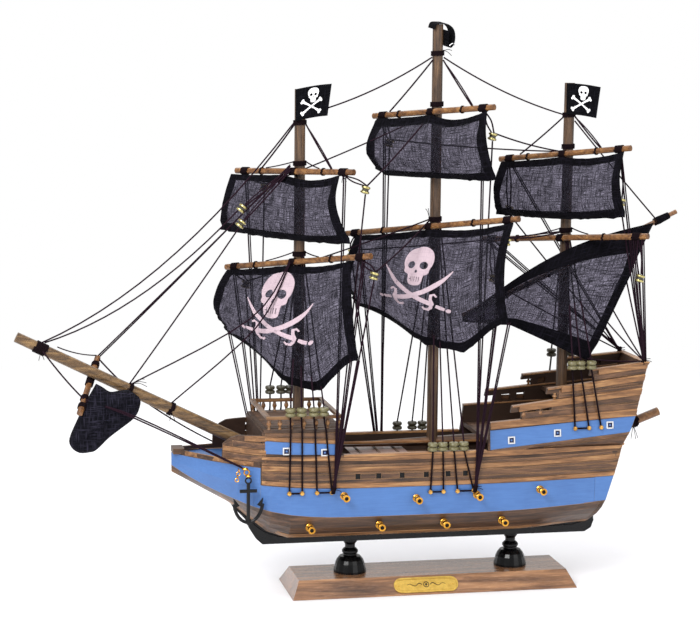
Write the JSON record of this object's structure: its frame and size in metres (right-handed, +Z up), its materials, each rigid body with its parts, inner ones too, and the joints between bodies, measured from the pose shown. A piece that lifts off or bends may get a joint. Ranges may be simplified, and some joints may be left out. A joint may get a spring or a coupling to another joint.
{
  "type": "model sailing ship",
  "caption": "Wooden display model of a square-rigged sailing ship with black gauze sails, a painted wale, brass guns and an anchor, on a board with turned pedestals.",
  "frame": {"origin": "centre of the stand board's underside", "axes": "+X towards the stern, +Y to starboard, +Z up"},
  "size_m": [0.4934, 0.1268, 0.419],
  "materials": {
    "stand_wood": "gloss lacquer",
    "brass": "polished",
    "black_lacquer": "gloss",
    "planking": "satin varnish",
    "blue_paint": "satin paint",
    "deck": "matt stain",
    "hatch_wood": "matt",
    "spar_wood": "satin varnish",
    "mast_wood": "satin varnish",
    "black_gauze": "open weave",
    "flag_cloth": "printed cloth"
  },
  "bodies": {
    "hull": {"base_board": "stand_wood", "base_nameplate": "brass", "pedestal_fore": "black_lacquer", "pedestal_aft": "black_lacquer", "keel": "black_lacquer", "lower_hull": "planking", "blue_wale": "blue_paint", "side_planking_port": "planking", "side_planking_starboard": "planking", "main_deck": "deck", "cargo_hatch": "hatch_wood", "bow_bulwark": "planking", "forecastle": "blue_paint", "forecastle_rail": "spar_wood", "quarter_side_port": "planking", "quarter_side_starboard": "planking", "quarter_deck": "deck", "poop_deck": "deck", "transom": "planking", "stern_spar": "spar_wood", "fore_mast": "mast_wood", "main_mast": "mast_wood", "mizzen_mast": "mast_wood", "bowsprit": "mast_wood", "fore_flag": "flag_cloth", "main_flag": "flag_cloth", "mizzen_flag": "flag_cloth", "upper_cannon_port_1": "brass", "upper_cannon_port_2": "brass", "upper_cannon_port_3": "brass", "upper_cannon_port_4": "brass", "upper_cannon_starboard_1": "brass", "upper_cannon_starboard_2": "brass", "upper_cannon_starboard_3": "brass", "upper_cannon_starboard_4": "brass", "lower_cannon_port_1": "brass", "lower_cannon_port_2": "brass", "lower_cannon_port_3": "brass", "lower_cannon_port_4": "brass", "lower_cannon_starboard_1": "brass", "lower_cannon_starboard_2": "brass", "lower_cannon_starboard_3": "brass", "lower_cannon_starboard_4": "brass"},
    "fore_course": {"fore_course_yard": "spar_wood", "fore_course_sail": "black_gauze"},
    "fore_topsail": {"fore_topsail_yard": "spar_wood", "fore_topsail_sail": "black_gauze"},
    "main_course": {"main_course_yard": "spar_wood", "main_course_sail": "black_gauze"},
    "main_topsail": {"main_topsail_yard": "spar_wood", "main_topsail_sail": "black_gauze"},
    "crossjack": {"crossjack_yard": "spar_wood"},
    "mizzen_topsail": {"mizzen_topsail_yard": "spar_wood", "mizzen_topsail_sail": "black_gauze"},
    "lateen": {"lateen_yard": "spar_wood", "lateen_sail": "black_gauze"},
    "spritsail": {"spritsail_yard": "spar_wood", "spritsail": "black_gauze"},
    "anchor_chain": {"anchor_chain": "brass"},
    "anchor": {"anchor": "black_lacquer"}
  },
  "joints": [
    {"name": "fore_course_swing", "type": "hinge", "parent": "hull", "child": "fore_course", "pos_m": [-0.1, 0, 0.2463], "axis": [0, 0, 1], "range_deg": [-12, 12]},
    {"name": "fore_topsail_swing", "type": "hinge", "parent": "hull", "child": "fore_topsail", "pos_m": [-0.1, 0, 0.3123], "axis": [0, 0, 1], "range_deg": [-12, 12]},
    {"name": "main_course_swing", "type": "hinge", "parent": "hull", "child": "main_course", "pos_m": [0.002, 0, 0.2713], "axis": [0, 0, 1], "range_deg": [-12, 12]},
    {"name": "main_topsail_swing", "type": "hinge", "parent": "hull", "child": "main_topsail", "pos_m": [0.002, 0, 0.3555], "axis": [0, 0, 1], "range_deg": [-12, 12]},
    {"name": "crossjack_swing", "type": "hinge", "parent": "hull", "child": "crossjack", "pos_m": [0.1029, 0, 0.262], "axis": [0, 0, 1], "range_deg": [-12, 12]},
    {"name": "mizzen_topsail_swing", "type": "hinge", "parent": "hull", "child": "mizzen_topsail", "pos_m": [0.1033, 0, 0.3246], "axis": [0, 0, 1], "range_deg": [-12, 12]},
    {"name": "lateen_swing", "type": "hinge", "parent": "hull", "child": "lateen", "pos_m": [0.1028, 0, 0.241], "axis": [0, 0, 1], "range_deg": [-8, 8]},
    {"name": "spritsail_turn", "type": "hinge", "parent": "hull", "child": "spritsail", "pos_m": [-0.24939, 0, 0.16688], "axis": [0.8956, 0, -0.4449], "range_deg": [-15, 15]},
    {"name": "anchor_chain_swing", "type": "hinge", "parent": "hull", "child": "anchor_chain", "pos_m": [-0.1459, -0.0415, 0.1031], "axis": [1, 0, 0], "range_deg": [-40, 0]},
    {"name": "anchor_swing", "type": "hinge", "parent": "anchor_chain", "child": "anchor", "pos_m": [-0.1435, -0.0415, 0.0943], "axis": [0, 1, 0], "range_deg": [-25, 25]}
  ],
  "couplings": [
    {"joint": "fore_topsail_swing", "follows": "fore_course_swing", "ratio": 1},
    {"joint": "main_topsail_swing", "follows": "main_course_swing", "ratio": 1},
    {"joint": "mizzen_topsail_swing", "follows": "crossjack_swing", "ratio": 1}
  ]
}
